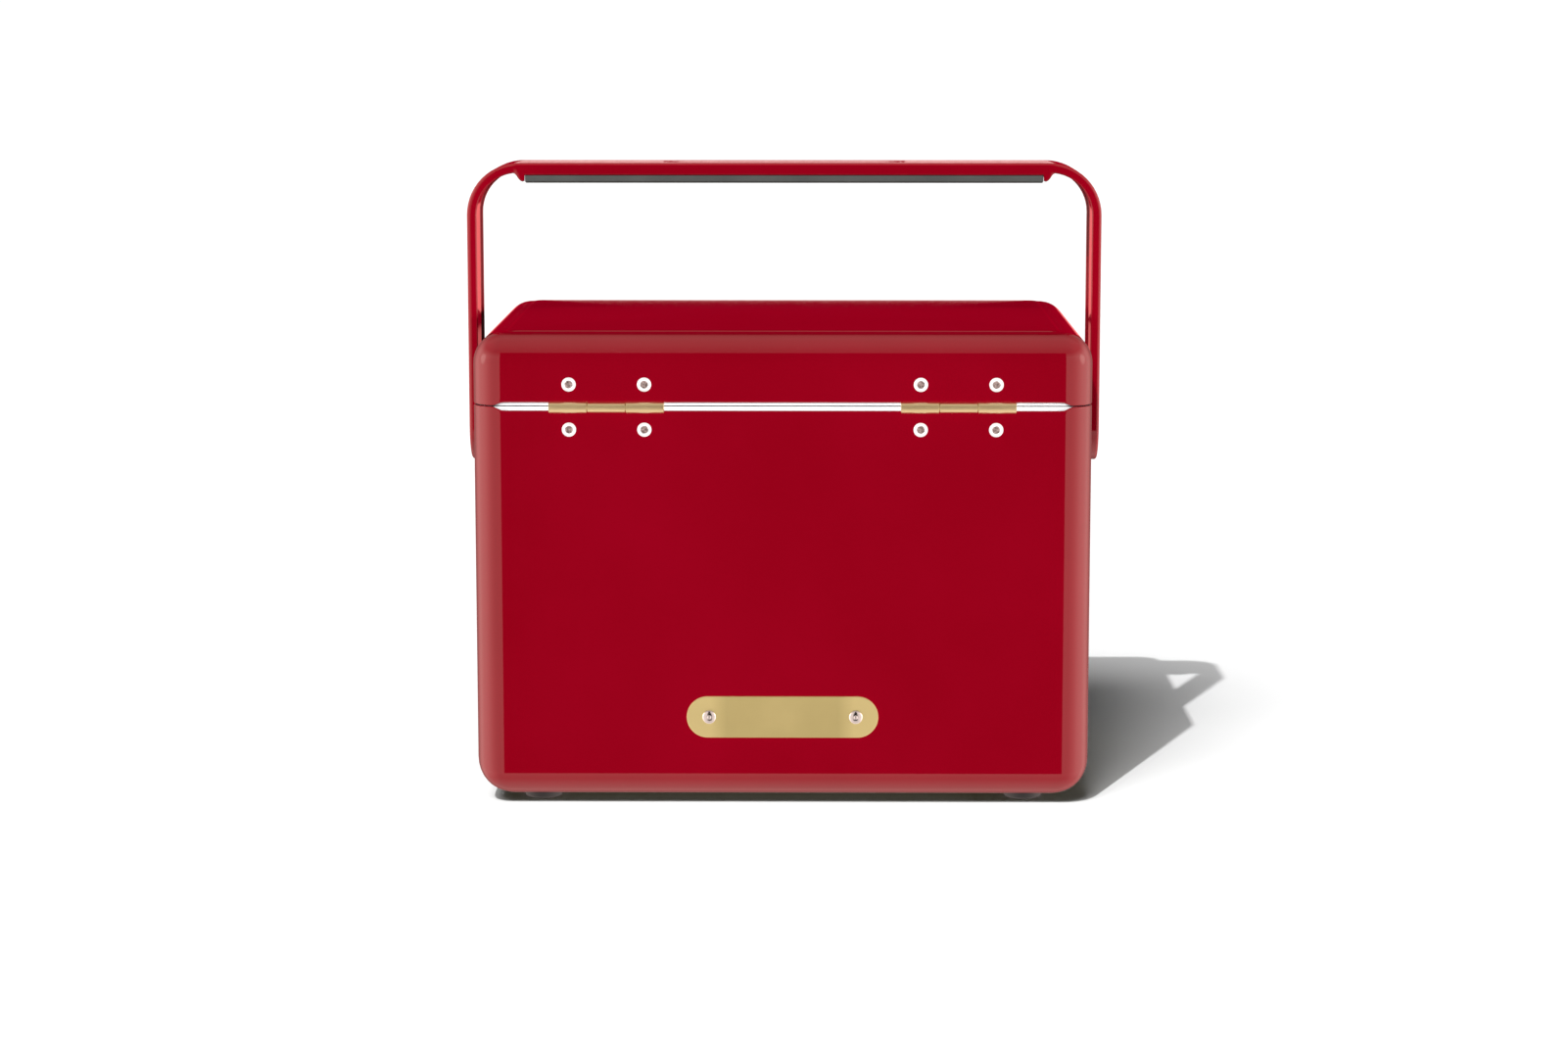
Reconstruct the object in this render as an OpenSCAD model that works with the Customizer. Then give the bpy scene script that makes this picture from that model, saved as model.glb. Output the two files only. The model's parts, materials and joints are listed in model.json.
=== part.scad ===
// Vintage steel cooler chest with a hinged lid and a swinging bow handle.
// Millimetres, +Z up. The front is at -Y and the lid hinges are at +Y.
// The origin is on the ground, under the middle of the whole chest.

/* [Chest] */
// Width of the chest over its side walls
chest_w = 343; // [330:1:360]
// Depth of the chest from its front wall to its rear wall
chest_d = 241; // [230:1:260]
// Height of the hinge axis above the underside of the body shell
chest_h = 220; // [200:1:240]
// Radius of the four vertical corners
corner_r = 15; // [13:1:18]
// Radius of the lower edges at the two sides
lower_side_r = 21; // [19:1:26]
// Thickness of the steel shells
shell_t = 0.8; // [0.7:0.1:1.2]
// Distance from the outside of a wall to the outside of the liner tub
wall_t = 22; // [20:1:26]
// Thickness of the plastic liners
liner_t = 2; // [1.5:0.5:2.5]

/* [Lid] */
// Height of the lid's shoulder above the hinge axis
lid_h = 40; // [36:1:42]
// Radius of the lid's top edges
lid_edge_r = 16.5; // [15:0.5:18]
// Rise of the crowned top above the shoulder
crown_h = 1.6; // [1:0.1:2]
// Depth of the lid's plug below the parting line
plug_h = 8; // [6:1:10]
// Gap between the closed lid and the body
parting_gap = 0.5; // [0.4:0.1:0.8]

/* [Hinges] */
// Distance of each hinge from the middle of the chest
hinge_x = 97; // [85:1:105]
// Length of each hinge barrel
barrel_l = 63.5; // [60:0.5:66]
// Outer diameter of the hinge barrel
barrel_d = 6.2; // [6:0.1:6.6]
// Diameter of the hinge pin
pin_d = 3.2; // [3:0.1:3.4]
// Distance of the hinge axis behind the rear wall
hinge_out = 2.5; // [2.4:0.1:2.8]

/* [Handle] */
// Width of the handle over its two legs
bow_w = 365; // [365:1:366]
// Width of the handle strap, front to rear
strap_w = 44; // [40:1:46]
// Height of the handle's top above the hinge axis
bow_h = 129.5; // [129:0.5:135]
// Distance of the handle pivots below the hinge axis
pivot_drop = 22; // [20:1:24]
// Outer radius of the handle's two upper bends
bend_r = 30; // [28:1:32]
// Half the length of the rubber grip
grip_half = 149; // [140:1:149]

/* [Feet and nameplate] */
// Height of the feet below the body shell
foot_h = 5; // [4.5:0.5:6]
// Diameter of each rubber foot
foot_d = 22; // [20:1:24]
// Length of the blank brass plate on the rear wall
plate_w = 107; // [100:1:115]
// Height of the brass plate
plate_h = 23.5; // [22:0.5:26]

/* [Hidden] */
hull_fn = 32;
$fn = 64;

// heights
axis_z = foot_h + chest_h;
body_top = axis_z + 0.2;
lid_bottom = body_top + parting_gap;
shoulder_z = axis_z + lid_h;
pivot_z = axis_z - pivot_drop;
bow_top = axis_z + bow_h;

// the hinge barrels stick out behind the rear wall, so the chest stands half of that forward
barrel_r = barrel_d / 2;
chest_y = -(hinge_out + barrel_r) / 2;
rear = chest_d / 2;
side = chest_w / 2;

// notch in both shells along the rear parting line, where the liner rims show
notch_half = 154;
notch_taper = 6;
notch_low = axis_z - 2;
notch_high = axis_z + 2.4;
notch_depth = 4;

// liners
fit_gap = 0.1;
foam_gap = 0.2;
rim_t = 3;
tub_r = 12;
tub_floor = foot_h + wall_t;
plug_gap = 1;
cavity_inset = wall_t + liner_t;
plug_inset = cavity_inset + plug_gap;

// gasket, in a groove in the lid liner's rim
gasket_w = 6;
gasket_h = 1.8;
gasket_gap = 0.3;
gasket_inset = 11;
gasket_low = body_top + gasket_gap;

// hinges
leaf_t = 1.2;
leaf_h = 20;
knuckle_gap = 0.3;
pin_gap = 0.05;
knuckle_l = (barrel_l - 2 * knuckle_gap) / 3;
leaf_in = rear - shell_t - leaf_t;
hinge_y = rear + hinge_out;
body_tongue_z = axis_z - 1.9;
lid_tongue_z = axis_z + 1.0;
rivet_dx = 20.8;
rivet_dz = 12.5;
rivet_head_d = 7.9;
rivet_d = 4;
rivet_tail_d = 6;
rivet_tail_l = 3;

// handle, measured inwards from the outside of the strap
strap_t = 1.6;
flange_h = 5.6;
grip_flange_h = 7;
ramp_h = 10.6;
ramp_l = 6.5;
grip_depth = 11.3;
inner_plate_t = 1.2;
inner_plate_out = 3.4;
inner_plate_in = inner_plate_out + inner_plate_t;
bow_side = bow_w / 2;

// handle pivots, from the chest's side wall outwards
bolt_d = 8;
bolt_play = 0.1;
bolt_head_d = 16;
bolt_head_t = 1.3;
bolt_tail = 14;
spacer_t = 1.6;
spacer_d = 24;
bush_d = 12;
bush_flange_d = 20;
bush_gap = 0.2;
backing_t = 2;
backing_w = 50;
backing_h = 36;
nut_af = 13;
nut_t = 6.5;

// feet
foot_x = side - 35.5;
foot_y = rear - 30.5;
pad_h = 0.7;
pad_d = 26;
screw_d = 4;
screw_head_d = 8.4;
screw_head_t = 2;
screw_l = 12;
foot_web = 2;

// nameplate
plate_z = axis_z - 173.8;
plate_t = 0.8;
plate_rivet_x = 40.9;

// ---- shared shapes -------------------------------------------------------

// Flat plate with rounded corners, inset from the chest's plan outline
module chest_plate(inset, low, high, r) {
    x = side - inset - r;
    y = rear - inset - r;
    hull()
        for (sx = [-1, 1], sy = [-1, 1])
            translate([sx * x, sy * y, low])
                cylinder(r = r, h = high - low, $fn = hull_fn);
}

// The body's outer form, moved inwards by inset and open ended at the top
module body_form(inset, high) {
    r = corner_r - inset;
    s = lower_side_r - inset;
    floor_z = foot_h + inset;
    x = side - inset;
    y = rear - inset - r;
    hull() {
        for (sx = [-1, 1], sy = [-1, 1]) {
            translate([sx * (x - r), sy * y, floor_z + s])
                cylinder(r = r, h = high - floor_z - s, $fn = hull_fn);
            translate([sx * (x - s), sy * y, floor_z + s])
                scale([s / r, 1, s / r]) sphere(r = r, $fn = hull_fn);
            translate([sx * (x - s), sy * y, floor_z + r])
                sphere(r = r, $fn = hull_fn);
        }
        translate([s - x, -y, floor_z])
            cube([2 * (x - s), 2 * y, 1]);
    }
}

// The lid's outer form, moved inwards by inset, from low up to its crowned top
module lid_form(inset, low) {
    r = corner_r - inset;
    e = lid_edge_r - inset;
    high = shoulder_z - inset;
    x = side - inset;
    y = rear - inset;
    hull() {
        for (sx = [-1, 1], sy = [-1, 1]) {
            translate([sx * (x - r), sy * (y - r), low])
                cylinder(r = r, h = high - e - low, $fn = hull_fn);
            translate([sx * (x - e), sy * (y - e), high - e])
                sphere(r = e, $fn = hull_fn);
        }
        crown_step(x - e, y - e, high - 1, 1);
        crown_step(x - 48, y - 48, high, 0.65 * crown_h);
        crown_step(x - 90, y - 85, high, crown_h);
    }
}

// One flat step of the lid's crown
module crown_step(x, y, low, h) {
    translate([-x, -y, low]) cube([2 * x, 2 * y, h]);
}

// The space that the rear notch takes out of both shells
module rear_notch() {
    tip = notch_half + notch_taper;
    translate([0, rear + 1, 0])
        rotate([90, 0, 0])
            linear_extrude(height = notch_depth + 1)
                polygon([
                    [-tip, body_top], [-notch_half, notch_low], [notch_half, notch_low],
                    [tip, body_top], [tip, lid_bottom], [notch_half, notch_high],
                    [-notch_half, notch_high], [-tip, lid_bottom]
                ]);
}

// The places of a hinge's two rivets, above (up = 1) or below (up = -1) the axis
module at_hinge_rivets(sx, up) {
    for (dx = [-rivet_dx, rivet_dx])
        translate([sx * hinge_x + dx, rear, axis_z + up * rivet_dz])
            rotate([-90, 0, 0])
                children();
}

// Room for a leaf behind a shell, and for the rivet tails behind the leaf
module leaf_room(up) {
    for (sx = [-1, 1]) {
        low = up > 0 ? lid_bottom - 1 : axis_z - leaf_h - 2;
        translate([sx * hinge_x - barrel_l / 2 - 1, leaf_in - foam_gap, low])
            cube([barrel_l + 2, 10, leaf_h + 4]);
        at_hinge_rivets(sx, up)
            translate([0, 0, -shell_t - leaf_t - rivet_tail_l - foam_gap])
                cylinder(d = rivet_tail_d + 1, h = 6);
    }
}

// Room around one hinge in a liner's rim
module rim_relief(low, high) {
    for (sx = [-1, 1])
        translate([sx * hinge_x - barrel_l / 2 - 0.3, leaf_in - foam_gap, low])
            cube([barrel_l + 0.6, 10, high - low]);
}

// Cylinder along X, from x0 to x1, on the hinge axis
module on_axis(x0, x1, d) {
    translate([x0, hinge_y, axis_z])
        rotate([0, 90, 0])
            cylinder(d = d, h = x1 - x0);
}

// Blind rivet along +Z, with the shell's face at Z = 0
module blind_rivet() {
    grip = shell_t + leaf_t;
    difference() {
        union() {
            cylinder(d1 = rivet_head_d, d2 = rivet_head_d - 1.6, h = 1.1);
            translate([0, 0, -grip]) cylinder(d = rivet_d, h = grip);
            translate([0, 0, -grip - rivet_tail_l]) cylinder(d = rivet_tail_d, h = rivet_tail_l);
        }
        translate([0, 0, 0.5]) cylinder(d = 4.4, h = 2);
    }
    translate([0, 0, 0.4]) cylinder(d = 2.6, h = 0.4);
}

// Outline of the handle bow in X and Z, moved inwards by inset
module bow_outline(inset) {
    x = bow_side - inset;
    r = bend_r - inset;
    top = bow_top - inset;
    low = pivot_z - strap_w / 2 - 1;
    union() {
        translate([-x, low]) square([2 * x, top - r - low]);
        translate([r - x, low]) square([2 * (x - r), top - low]);
        for (sx = [-1, 1])
            translate([sx * (x - r), top - r]) circle(r = r);
    }
}

// A layer of the bow between two insets, over the width of y0 to y1
module bow_layer(outer, inner, y0, y1) {
    translate([0, y1, 0])
        rotate([90, 0, 0])
            linear_extrude(height = y1 - y0)
                difference() {
                    bow_outline(outer);
                    bow_outline(inner);
                }
}

// The rounded lower ends of the legs, as a solid that keeps what lies inside them
module leg_ends(half) {
    translate([-bow_side - 1, 0, pivot_z])
        rotate([90, 0, 90])
            linear_extrude(height = bow_w + 2)
                union() {
                    circle(r = half);
                    translate([-half, 0]) square([2 * half, bow_h + pivot_drop + 1]);
                }
}

// The deeper edge of one flange, beside the grip
module grip_flange() {
    rotate([90, 0, 0])
        linear_extrude(height = strap_t)
            polygon([
                [-grip_half - ramp_l, bow_top - flange_h], [-grip_half, bow_top - ramp_h],
                [-grip_half, bow_top - grip_flange_h], [grip_half, bow_top - grip_flange_h],
                [grip_half, bow_top - ramp_h], [grip_half + ramp_l, bow_top - flange_h],
                [grip_half + ramp_l, bow_top - 4], [-grip_half - ramp_l, bow_top - 4]
            ]);
}

// Something along the handle's pivot axis, from the side wall outwards along +Z
module on_pivot(sx) {
    translate([sx * side, chest_y, pivot_z])
        rotate([0, sx * 90, 0])
            children();
}

// ---- chest ---------------------------------------------------------------

module body_shell() {
    color("firebrick")
        translate([0, chest_y, 0])
            difference() {
                union() {
                    body_form(0, body_top);
                    for (sx = [-1, 1], sy = [-1, 1])
                        translate([sx * foot_x, sy * foot_y, foot_h - pad_h])
                            cylinder(d = pad_d, h = 2);
                }
                body_form(shell_t, body_top + 1);
                rear_notch();
                for (sx = [-1, 1]) {
                    at_hinge_rivets(sx, -1)
                        translate([0, 0, -3]) cylinder(d = rivet_d, h = 6);
                    translate([sx * plate_rivet_x, rear - 3, plate_z])
                        rotate([-90, 0, 0]) cylinder(d = rivet_d, h = 6);
                    translate([sx * (side - 3), 0, pivot_z])
                        rotate([0, sx * 90, 0]) cylinder(d = bolt_d + bolt_play, h = 6);
                    for (sy = [-1, 1])
                        translate([sx * foot_x, sy * foot_y, 0])
                            cylinder(d = screw_d, h = foot_h + 3);
                }
            }
}

module body_liner() {
    color("white")
        translate([0, chest_y, 0])
            difference() {
                union() {
                    chest_plate(wall_t, tub_floor, body_top, tub_r + liner_t);
                    chest_plate(shell_t + fit_gap, body_top - rim_t, body_top,
                        corner_r - shell_t - fit_gap);
                }
                chest_plate(cavity_inset, tub_floor + liner_t, body_top + 1, tub_r);
                rim_relief(body_top - rim_t - 1, body_top + 1);
            }
}

module body_insulation() {
    color("lightyellow")
        translate([0, chest_y, 0])
            difference() {
                body_form(shell_t + foam_gap, body_top - rim_t - foam_gap);
                chest_plate(wall_t - foam_gap, tub_floor - foam_gap, body_top + 1,
                    tub_r + liner_t + foam_gap);
                leaf_room(-1);
                for (sx = [-1, 1]) {
                    translate([sx * (side - shell_t), 0, pivot_z])
                        cube([2 * (bolt_tail + 2), backing_w + 1, backing_h + 1], center = true);
                    translate([sx * plate_rivet_x, rear - 6, plate_z])
                        rotate([-90, 0, 0]) cylinder(d = rivet_tail_d + 1, h = 8);
                    for (sy = [-1, 1])
                        translate([sx * foot_x, sy * foot_y, foot_h])
                            cylinder(d = screw_d + 0.4, h = screw_l);
                }
            }
}

module foot(sx, sy) {
    color("dimgray")
        translate([sx * foot_x, chest_y + sy * foot_y, 0])
            difference() {
                cylinder(d1 = foot_d - 2, d2 = foot_d, h = foot_h - pad_h);
                translate([0, 0, -1])
                    cylinder(d = screw_head_d + 1, h = foot_h - pad_h - foot_web + 1);
                cylinder(d = screw_d, h = foot_h + 1);
            }
}

module foot_front_left() { foot(-1, -1); }
module foot_front_right() { foot(1, -1); }
module foot_rear_left() { foot(-1, 1); }
module foot_rear_right() { foot(1, 1); }

module foot_screws() {
    head_z = foot_h - pad_h - foot_web;
    color("silver")
        for (sx = [-1, 1], sy = [-1, 1])
            translate([sx * foot_x, chest_y + sy * foot_y, head_z]) {
                cylinder(d = screw_d, h = screw_l);
                translate([0, 0, -screw_head_t])
                    difference() {
                        cylinder(d1 = screw_head_d - 2, d2 = screw_head_d, h = screw_head_t);
                        translate([-3, -0.5, -1]) cube([6, 1, 1.8]);
                    }
            }
}

// ---- hinges --------------------------------------------------------------

module body_leaf(sx) {
    inner = knuckle_l / 2 + knuckle_gap;
    outer = barrel_l / 2;
    color("goldenrod")
        translate([sx * hinge_x, chest_y, 0])
            difference() {
                union() {
                    translate([-outer, leaf_in, axis_z - leaf_h])
                        cube([barrel_l, leaf_t, leaf_h - 0.7]);
                    for (x0 = [-outer, inner]) {
                        translate([x0, leaf_in, body_tongue_z])
                            cube([knuckle_l, hinge_y - leaf_in, leaf_t]);
                        on_axis(x0, x0 + knuckle_l, barrel_d);
                    }
                }
                on_axis(-outer - 1, outer + 1, pin_d);
                translate([-sx * hinge_x, 0, 0]) at_hinge_rivets(sx, -1)
                    translate([0, 0, -5]) cylinder(d = rivet_d, h = 6);
            }
}

module lid_leaf(sx) {
    half = knuckle_l / 2;
    outer = barrel_l / 2;
    color("goldenrod")
        translate([sx * hinge_x, chest_y, 0])
            difference() {
                union() {
                    translate([-outer, leaf_in, lid_tongue_z])
                        cube([barrel_l, leaf_t, leaf_h - 1]);
                    translate([-half, leaf_in, lid_tongue_z])
                        cube([knuckle_l, hinge_y - leaf_in, leaf_t]);
                    on_axis(-half, half, barrel_d);
                }
                on_axis(-half - 1, half + 1, pin_d + 2 * pin_gap);
                translate([-sx * hinge_x, 0, 0]) at_hinge_rivets(sx, 1)
                    translate([0, 0, -5]) cylinder(d = rivet_d, h = 6);
            }
}

module hinge_pin(sx) {
    outer = barrel_l / 2;
    color("goldenrod")
        translate([sx * hinge_x, chest_y, 0])
            on_axis(-outer + 0.4, outer - 0.4, pin_d);
}

module hinge_rivets(sx, up) {
    color("gainsboro")
        translate([0, chest_y, 0])
            at_hinge_rivets(sx, up) blind_rivet();
}

module hinge_left_body_leaf() { body_leaf(-1); }
module hinge_right_body_leaf() { body_leaf(1); }
module hinge_left_lid_leaf() { lid_leaf(-1); }
module hinge_right_lid_leaf() { lid_leaf(1); }
module hinge_left_pin() { hinge_pin(-1); }
module hinge_right_pin() { hinge_pin(1); }
module hinge_left_body_rivets() { hinge_rivets(-1, -1); }
module hinge_right_body_rivets() { hinge_rivets(1, -1); }
module hinge_left_lid_rivets() { hinge_rivets(-1, 1); }
module hinge_right_lid_rivets() { hinge_rivets(1, 1); }

// ---- nameplate -----------------------------------------------------------

module nameplate() {
    end = plate_w / 2 - plate_h / 2;
    color("darkgoldenrod")
        translate([0, chest_y + rear + plate_t, plate_z])
            rotate([90, 0, 0])
                difference() {
                    union() {
                        translate([-end, -plate_h / 2, 0]) cube([2 * end, plate_h, plate_t]);
                        for (sx = [-1, 1])
                            translate([sx * end, 0, 0]) cylinder(d = plate_h, h = plate_t);
                    }
                    for (sx = [-1, 1])
                        translate([sx * plate_rivet_x, 0, -1]) cylinder(d = rivet_d, h = plate_t + 2);
                }
}

module nameplate_rivets() {
    color("silver")
        for (sx = [-1, 1])
            translate([sx * plate_rivet_x, chest_y + rear, plate_z])
                rotate([-90, 0, 0]) {
                    translate([0, 0, plate_t])
                        cylinder(d1 = rivet_head_d, d2 = rivet_head_d - 3, h = 1.4);
                    translate([0, 0, -shell_t]) cylinder(d = rivet_d, h = shell_t + plate_t);
                    translate([0, 0, -shell_t - rivet_tail_l])
                        cylinder(d = rivet_tail_d, h = rivet_tail_l);
                }
}

// ---- handle pivots -------------------------------------------------------

module pivot_bolt(sx) {
    head = bow_side - inner_plate_out + bush_gap - side;
    color("silver")
        on_pivot(sx) {
            translate([0, 0, -bolt_tail]) cylinder(d = bolt_d, h = bolt_tail + head);
            translate([0, 0, head]) cylinder(d = bolt_head_d, h = bolt_head_t);
        }
}

module pivot_spacer(sx) {
    color("silver")
        on_pivot(sx)
            difference() {
                cylinder(d = spacer_d, h = spacer_t);
                translate([0, 0, -1]) cylinder(d = bolt_d + bolt_play, h = spacer_t + 2);
            }
}

module pivot_backing(sx) {
    color("gray")
        on_pivot(sx)
            translate([0, 0, -shell_t - backing_t])
                difference() {
                    translate([-backing_h / 2, -backing_w / 2, 0])
                        cube([backing_h, backing_w, backing_t]);
                    translate([0, 0, -1]) cylinder(d = bolt_d + bolt_play, h = backing_t + 2);
                }
}

module pivot_nut(sx) {
    color("silver")
        on_pivot(sx)
            translate([0, 0, -shell_t - backing_t - nut_t])
                difference() {
                    cylinder(d = nut_af / cos(30), h = nut_t, $fn = 6);
                    translate([0, 0, -1]) cylinder(d = bolt_d, h = nut_t + 2);
                }
}

module pivot_bolt_left() { pivot_bolt(-1); }
module pivot_bolt_right() { pivot_bolt(1); }
module pivot_spacer_left() { pivot_spacer(-1); }
module pivot_spacer_right() { pivot_spacer(1); }
module pivot_backing_left() { pivot_backing(-1); }
module pivot_backing_right() { pivot_backing(1); }
module pivot_nut_left() { pivot_nut(-1); }
module pivot_nut_right() { pivot_nut(1); }

// ---- lid -----------------------------------------------------------------

module lid_shell() {
    color("firebrick")
        translate([0, chest_y, 0])
            difference() {
                lid_form(0, lid_bottom);
                lid_form(shell_t, lid_bottom - 1);
                rear_notch();
                for (sx = [-1, 1])
                    at_hinge_rivets(sx, 1)
                        translate([0, 0, -3]) cylinder(d = rivet_d, h = 6);
            }
}

module lid_liner() {
    color("white")
        translate([0, chest_y, 0])
            difference() {
                union() {
                    chest_plate(shell_t + fit_gap, lid_bottom, lid_bottom + rim_t,
                        corner_r - shell_t - fit_gap);
                    chest_plate(plug_inset, lid_bottom - plug_h, lid_bottom + 1, tub_r - plug_gap);
                }
                chest_plate(plug_inset + liner_t, lid_bottom - plug_h + liner_t,
                    lid_bottom + rim_t + 1, tub_r - plug_gap - liner_t);
                gasket_ring(0, 1);
                rim_relief(lid_bottom - 1, lid_bottom + rim_t + 1);
            }
}

module lid_insulation() {
    low = lid_bottom - plug_h + liner_t + foam_gap;
    color("lightyellow")
        translate([0, chest_y, 0])
            difference() {
                union() {
                    lid_form(shell_t + foam_gap, lid_bottom + rim_t + foam_gap);
                    chest_plate(plug_inset + liner_t + foam_gap, low, lid_bottom + rim_t + 1,
                        tub_r - plug_gap - liner_t - foam_gap);
                }
                leaf_room(1);
            }
}

// The gasket's ring; under lets it run on below the groove
module gasket_ring(grow, under) {
    difference() {
        chest_plate(gasket_inset, gasket_low - under, gasket_low + gasket_h, corner_r);
        chest_plate(gasket_inset + gasket_w, gasket_low - under - 1, gasket_low + gasket_h + 1,
            corner_r - gasket_w);
    }
}

module lid_gasket() {
    color("gray")
        translate([0, chest_y, 0])
            gasket_ring(0, 0);
}

// ---- handle --------------------------------------------------------------

module handle_strap() {
    half = strap_w / 2;
    color("firebrick")
        translate([0, chest_y, 0])
            intersection() {
                union() {
                    bow_layer(0, strap_t, -half, half);
                    bow_layer(0, flange_h, -half, strap_t - half);
                    bow_layer(0, flange_h, half - strap_t, half);
                    translate([0, strap_t - half, 0]) grip_flange();
                    translate([0, half, 0]) grip_flange();
                }
                leg_ends(half);
            }
}

module handle_inner_plate(sx) {
    half = strap_w / 2 - strap_t - fit_gap;
    color("firebrick")
        translate([0, chest_y, 0])
            difference() {
                intersection() {
                    bow_layer(inner_plate_out, inner_plate_in, -half, half);
                    leg_ends(half);
                    translate([sx > 0 ? grip_half + fit_gap : -grip_half - fit_gap - 100, -half, 0])
                        cube([100, 2 * half, bow_top]);
                }
                translate([sx * (bow_side - 10), 0, pivot_z])
                    rotate([0, sx * 90, 0]) cylinder(d = bush_d, h = 10);
            }
}

module handle_grip() {
    neck = strap_w / 2 - strap_t - fit_gap;
    lip_z = bow_top - grip_flange_h - fit_gap;
    low_z = bow_top - grip_depth;
    half = strap_w / 2;
    color("darkslategray")
        translate([-grip_half + fit_gap, chest_y, 0])
            rotate([90, 0, 90])
                linear_extrude(height = 2 * (grip_half - fit_gap))
                    union() {
                        translate([-neck, lip_z - 1])
                            square([2 * neck, bow_top - strap_t - fit_gap - lip_z + 1]);
                        translate([-half, lip_z - 1]) square([strap_w, 1]);
                        hull()
                            for (sy = [-1, 1]) {
                                translate([sy * (half - 2), low_z + 2])
                                    circle(r = 2, $fn = hull_fn);
                                translate([sy * (half - 0.5), lip_z - 0.5]) square(1, center = true);
                            }
                    }
}

module handle_bush(sx) {
    inner_face = bow_side - inner_plate_in - side;
    sleeve_end = bow_side - inner_plate_out - side;
    low = spacer_t + bush_gap;
    color("ivory")
        on_pivot(sx)
            difference() {
                union() {
                    translate([0, 0, low]) cylinder(d = bush_flange_d, h = inner_face - low);
                    translate([0, 0, low]) cylinder(d = bush_d, h = sleeve_end - low);
                }
                cylinder(d = bolt_d + bolt_play, h = sleeve_end + 1);
            }
}

module handle_inner_plate_left() { handle_inner_plate(-1); }
module handle_inner_plate_right() { handle_inner_plate(1); }
module handle_bush_left() { handle_bush(-1); }
module handle_bush_right() { handle_bush(1); }

body_shell();
body_liner();
body_insulation();
foot_front_left();
foot_front_right();
foot_rear_left();
foot_rear_right();
foot_screws();
hinge_left_body_leaf();
hinge_right_body_leaf();
hinge_left_pin();
hinge_right_pin();
hinge_left_body_rivets();
hinge_right_body_rivets();
nameplate();
nameplate_rivets();
pivot_backing_left();
pivot_backing_right();
pivot_bolt_left();
pivot_bolt_right();
pivot_nut_left();
pivot_nut_right();
pivot_spacer_left();
pivot_spacer_right();
lid_shell();
lid_liner();
lid_insulation();
lid_gasket();
hinge_left_lid_leaf();
hinge_right_lid_leaf();
hinge_left_lid_rivets();
hinge_right_lid_rivets();
handle_strap();
handle_inner_plate_left();
handle_inner_plate_right();
handle_grip();
handle_bush_left();
handle_bush_right();
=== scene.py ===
"""A vintage steel cooler chest: enamelled shells, a white liner, brass hinges and a swinging bow handle.

Metres, +Z up. The front is at -Y, the lid's hinges are at +Y, and the camera looks at the rear."""
import json
import math

import bpy
from mathutils import Matrix, Vector, noise


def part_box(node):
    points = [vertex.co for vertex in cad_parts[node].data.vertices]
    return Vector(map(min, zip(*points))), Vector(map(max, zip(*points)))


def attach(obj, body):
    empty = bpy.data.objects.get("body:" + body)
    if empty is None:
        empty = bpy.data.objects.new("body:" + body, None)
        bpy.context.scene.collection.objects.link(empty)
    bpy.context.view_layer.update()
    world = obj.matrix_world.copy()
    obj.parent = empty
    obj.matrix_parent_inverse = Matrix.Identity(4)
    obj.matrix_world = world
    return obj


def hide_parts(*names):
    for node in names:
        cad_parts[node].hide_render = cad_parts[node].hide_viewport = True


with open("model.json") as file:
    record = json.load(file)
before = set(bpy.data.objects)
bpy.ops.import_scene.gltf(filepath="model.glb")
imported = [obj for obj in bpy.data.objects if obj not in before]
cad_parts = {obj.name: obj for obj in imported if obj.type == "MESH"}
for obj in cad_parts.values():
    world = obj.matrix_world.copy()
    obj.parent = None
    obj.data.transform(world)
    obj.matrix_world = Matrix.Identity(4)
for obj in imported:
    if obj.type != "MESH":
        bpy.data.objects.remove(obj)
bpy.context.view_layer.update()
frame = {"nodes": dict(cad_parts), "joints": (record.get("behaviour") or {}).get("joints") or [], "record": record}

MM = 0.001
UP = Vector((0, 0, 1))

# ---- sizes, from the frame ------------------------------------------------

shell_lo, shell_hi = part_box("body_shell")
lid_lo, lid_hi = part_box("lid_shell")
strap_lo, strap_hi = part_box("handle_strap")
pin_lo, pin_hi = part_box("hinge_right_pin")
cavity_hi = Vector(frame["record"]["physics"]["openings"][0]["box_m"][1])

mid_y = (shell_lo.y + shell_hi.y) / 2
half_w = (shell_hi.x - shell_lo.x) / 2
half_d = (shell_hi.y - shell_lo.y) / 2
rear_y = shell_hi.y
pad_h = 0.7 * MM
under_z = shell_lo.z + pad_h
body_top = shell_hi.z
lid_bottom = lid_lo.z
axis_z = (pin_lo.z + pin_hi.z) / 2
axis_y = (pin_lo.y + pin_hi.y) / 2
hinge_x = (pin_lo.x + pin_hi.x) / 2
pivot = Vector(frame["joints"][1]["pos_m"])

corner_r = 15 * MM
lower_side_r = 21 * MM
under_r = 3 * MM
lid_edge_r = 16.5 * MM
shell_t = 0.8 * MM
crown_h = 1.6 * MM
lip_r = 0.85 * MM
lip_in = 0.95 * MM
body_lift = 2.2 * MM
lid_lift = 1.7 * MM
liner_t = 2 * MM
rim_t = 3 * MM
tub_r = 12 * MM
liner_out = lip_in + 0.1 * MM
tub_wall = half_w - cavity_hi.x - 4 * MM


# ---- mesh helpers ---------------------------------------------------------


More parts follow.
